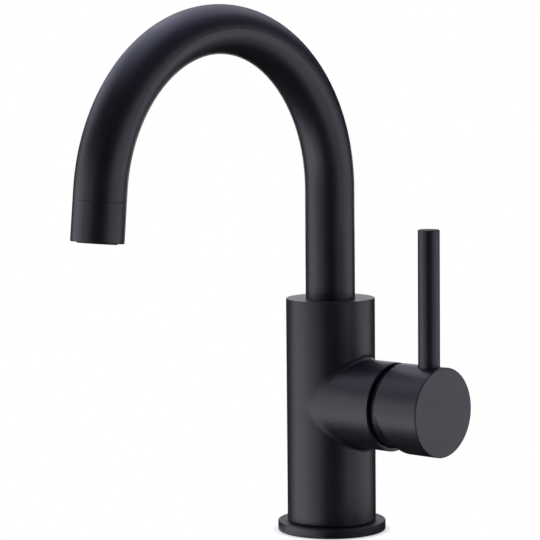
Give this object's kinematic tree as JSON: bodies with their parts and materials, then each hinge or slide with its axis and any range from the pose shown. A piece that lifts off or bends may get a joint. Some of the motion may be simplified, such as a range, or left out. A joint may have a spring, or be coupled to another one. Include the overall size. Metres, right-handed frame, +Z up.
{
  "type": "bathroom sink faucet",
  "caption": "Single-hole matte black bathroom sink faucet with a high-arch swivel spout, a side pin lever on a ceramic cartridge, and a clamp for the deck below.",
  "frame": {"origin": "on the body's upright axis, at the deck plane under the flange", "axes": "+Z up along the body, -Y the way the spout reaches, +X along the handle branch"},
  "size_m": [0.0997, 0.2038, 0.3189],
  "materials": {
    "black_coating": "fine matte black coating",
    "black_plastic": "moulded, fine satin",
    "grey_plastic": "moulded",
    "white_plastic": "moulded, slightly waxy",
    "ceramic": "lapped ceramic",
    "brass": "machined",
    "steel": "plain stainless",
    "rubber": "moulded"
  },
  "bodies": {
    "body": {"body_casting": "black_coating", "base_flange": "black_coating", "base_gasket": "rubber", "mounting_shank": "brass", "rubber_washer": "rubber", "steel_washer": "steel", "mounting_nut": "brass", "cartridge_housing": "grey_plastic", "cartridge_base": "grey_plastic", "base_port_seals": "rubber", "disc_seal": "rubber", "fixed_ceramic_disc": "ceramic", "cartridge_nut": "brass", "cartridge_cover": "black_coating", "spout_set_screw": "steel"},
    "spout": {"spout_tube": "black_coating", "outlet_sleeve": "black_coating", "spout_base_insert": "brass", "spout_o_rings": "rubber", "spout_slip_rings": "white_plastic", "spout_thrust_washer": "white_plastic", "aerator_housing": "black_plastic", "aerator_insert": "grey_plastic", "aerator_screen": "steel", "aerator_gasket": "rubber"},
    "rotor": {"cartridge_rotor": "white_plastic", "stem_pin": "steel"},
    "handle": {"cartridge_stem": "steel", "handle_cap": "black_coating", "handle_lever": "black_coating", "handle_grub_screw": "steel"},
    "carrier": {"disc_carrier": "white_plastic", "carrier_seal": "rubber", "moving_ceramic_disc": "ceramic"}
  },
  "joints": [
    {"name": "spout_swivel", "type": "hinge", "parent": "body", "child": "spout", "pos_m": [0, 0, 0.1145], "axis": [0, 0, 1], "continuous": true},
    {"name": "handle_turn", "type": "hinge", "parent": "body", "child": "rotor", "pos_m": [0.04, 0, 0.0667], "axis": [1, 0, 0], "range_deg": [-45, 45]},
    {"name": "handle_tilt", "type": "hinge", "parent": "rotor", "child": "handle", "pos_m": [0.04, 0, 0.0667], "axis": [0, 1, 0], "range_deg": [0, 25]},
    {"name": "disc_slide", "type": "slide", "parent": "rotor", "child": "carrier", "axis": [0, 0, 1], "range_m": [0, 0.0052]}
  ],
  "couplings": [
    {"joint": "disc_slide", "follows": "handle_tilt", "m_per_rad": 0.011906}
  ]
}
